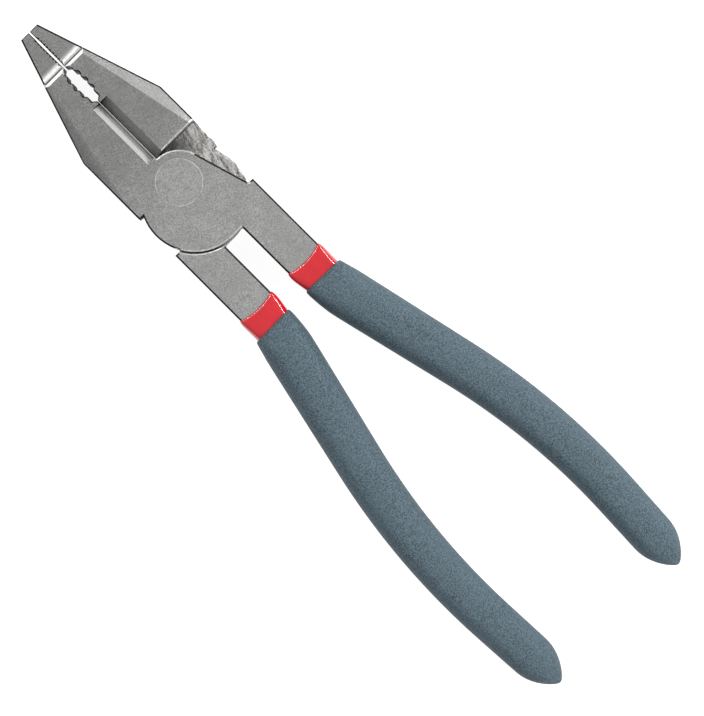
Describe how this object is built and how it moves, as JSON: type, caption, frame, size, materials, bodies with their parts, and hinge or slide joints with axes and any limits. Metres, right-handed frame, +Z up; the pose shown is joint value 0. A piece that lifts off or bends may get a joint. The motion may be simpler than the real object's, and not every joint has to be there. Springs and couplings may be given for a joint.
{
  "type": "lineman pliers",
  "caption": "Side-cutting lineman pliers with a flat toothed nose, a pipe grip, bevel cutters, a riveted lap joint and cushioned grips over vinyl sleeves.",
  "frame": {"origin": "on the rivet's axis, at the lower flat face of the head", "axes": "+Y from the rivet towards the nose, along the tool; +Z up along the rivet's axis, out of the upper face; +X to the side of the upper half's handle"},
  "size_m": [0.057, 0.2104, 0.0164],
  "materials": {
    "forged_steel": "satin, bead blasted, with ground faces",
    "rivet_steel": "ground flush with the faces",
    "red_vinyl": "dipped, glossy",
    "grey_foam": "fine mottled grain, matt"
  },
  "bodies": {
    "lower": {"lower_half": "forged_steel", "pivot_rivet": "rivet_steel", "lower_sleeve": "red_vinyl", "lower_foam_cover": "grey_foam"},
    "upper": {"upper_half": "forged_steel", "upper_sleeve": "red_vinyl", "upper_foam_cover": "grey_foam"}
  },
  "joints": [
    {"name": "pivot", "type": "hinge", "parent": "lower", "child": "upper", "pos_m": [0, 0, 0.006], "axis": [0, 0, 1], "range_deg": [0, 60]}
  ]
}
